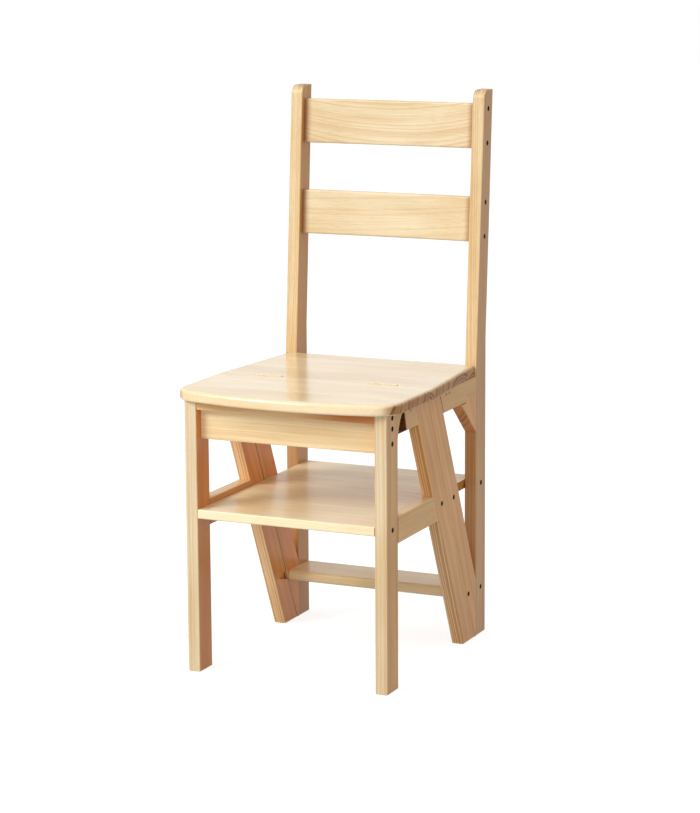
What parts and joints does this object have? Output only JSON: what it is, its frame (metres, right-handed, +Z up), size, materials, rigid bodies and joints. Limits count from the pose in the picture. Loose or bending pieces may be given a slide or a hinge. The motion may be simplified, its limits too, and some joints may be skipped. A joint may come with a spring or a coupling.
{
  "type": "library step chair",
  "caption": "Pine dining chair that turns into a small step ladder: its slanted back half flips forward over a hinge across the seat.",
  "frame": {"origin": "on the floor under the middle of the chair's bounding box", "axes": "+X to the right as seen from in front, +Y from front to back, +Z up"},
  "size_m": [0.376, 0.4684, 0.902],
  "materials": {
    "pine_face": "satin clear lacquer, pale honey pine",
    "pine_side": "satin clear lacquer, warmer honey pine",
    "pine_tread": "glossier clear lacquer, pale pine",
    "steel": "zinc-plated steel",
    "brass": "satin brass"
  },
  "bodies": {
    "front_frame": {"front_leg_left": "pine_face", "front_leg_right": "pine_face", "front_slant_left": "pine_side", "front_slant_right": "pine_side", "short_rail_left": "pine_side", "short_rail_right": "pine_side", "mid_rail_left": "pine_side", "mid_rail_right": "pine_side", "corner_plate_left": "steel", "corner_plate_right": "steel", "apron": "pine_face", "seat_strip": "pine_face", "seat_front": "pine_tread", "front_shelf": "pine_tread", "hinge_leaf_front_left": "brass", "hinge_leaf_front_right": "brass"},
    "back_frame": {"back_post_left": "pine_side", "back_post_right": "pine_side", "back_slant_left": "pine_side", "back_slant_right": "pine_side", "back_rail_left": "pine_side", "back_rail_right": "pine_side", "gusset_left": "pine_side", "gusset_right": "pine_side", "seat_back": "pine_tread", "back_shelf": "pine_tread", "low_step": "pine_tread", "top_slat": "pine_face", "lower_slat": "pine_face", "hinge_leaf_back_left": "brass", "hinge_leaf_back_right": "brass", "hinge_pin_left": "brass", "hinge_pin_right": "brass"}
  },
  "joints": [
    {"name": "seat_hinge", "type": "hinge", "parent": "front_frame", "child": "back_frame", "pos_m": [0, -0.04925, 0.4573], "axis": [1, 0, 0], "range_deg": [0, 180]}
  ]
}
